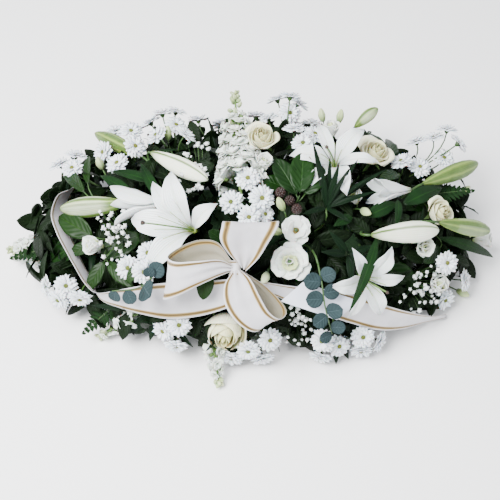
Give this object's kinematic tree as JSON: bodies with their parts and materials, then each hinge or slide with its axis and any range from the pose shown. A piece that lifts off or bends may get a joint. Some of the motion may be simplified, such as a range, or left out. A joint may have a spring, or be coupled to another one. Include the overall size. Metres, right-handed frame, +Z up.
{
  "type": "funeral cushion",
  "caption": "Loose oval funeral cushion of white lilies, roses and small blooms with mixed foliage in wet foam on a low tray, dressed with a satin ribbon bow and sash and a blank card.",
  "frame": {"origin": "centre of the tray's flat underside, on the surface that it rests on", "axes": "+Z up, +X along the length to the right as the bow is seen, -Y towards the front, where the bow and sash are"},
  "size_m": [0.7925, 0.4794, 0.2487],
  "materials": {
    "tray": "satin moulded plastic",
    "foam": "matt wet foam",
    "ribbon": "satin with gold edge stripes",
    "paper": "matt card",
    "white_petal": "soft petal",
    "cream_petal": "soft petal",
    "stem": "smooth green",
    "dark_leaf": "glossy leaf",
    "palm_leaf": "glossy leaf",
    "fern": "leathery leaf",
    "silver_leaf": "waxy blue-green leaf",
    "berry": "rough dried berry"
  },
  "bodies": {
    "root": {"tray": "tray", "wet_foam": "foam", "ribbon_bow": "ribbon", "ribbon_sash": "ribbon", "blank_card": "paper", "areca_palm": "palm_leaf", "berries": "berry", "chrysanthemum_back": "white_petal", "chrysanthemum_centre": "white_petal", "chrysanthemum_far_left": "white_petal", "chrysanthemum_front": "white_petal", "chrysanthemum_front_left": "white_petal", "chrysanthemum_front_right": "white_petal", "chrysanthemum_left": "white_petal", "chrysanthemum_left_back": "white_petal", "chrysanthemum_left_front": "white_petal", "chrysanthemum_rear": "white_petal", "chrysanthemum_right": "white_petal", "chrysanthemum_right_back": "white_petal", "chrysanthemum_top": "white_petal", "eucalyptus_left": "silver_leaf", "eucalyptus_right": "silver_leaf", "fern_front": "fern", "fern_left": "fern", "fern_rear": "fern", "fern_right": "fern", "gypsophila_front": "white_petal", "gypsophila_left": "white_petal", "gypsophila_right": "white_petal", "gypsophila_top": "white_petal", "lily_back_petals": "white_petal", "lily_front_petals": "white_petal", "lily_half_left_petals": "white_petal", "lily_half_right_petals": "white_petal", "lily_right_petals": "white_petal", "lily_stem_back": "stem", "lily_stem_left": "stem", "lily_stem_right": "stem", "lisianthus_1": "cream_petal", "lisianthus_2": "cream_petal", "lisianthus_3": "cream_petal", "lisianthus_4": "cream_petal", "lisianthus_5": "cream_petal", "lisianthus_6": "cream_petal", "lisianthus_7": "cream_petal", "lisianthus_8": "cream_petal", "rose_1": "cream_petal", "rose_2": "cream_petal", "rose_3": "cream_petal", "rose_4": "cream_petal", "ruscus_front": "palm_leaf", "ruscus_front_left": "palm_leaf", "ruscus_right": "palm_leaf", "salal_left": "dark_leaf", "salal_right": "dark_leaf", "salal_top": "dark_leaf", "stock_front": "white_petal", "stock_front_left": "white_petal", "stock_left": "white_petal", "stock_top": "white_petal"}
  },
  "joints": []
}
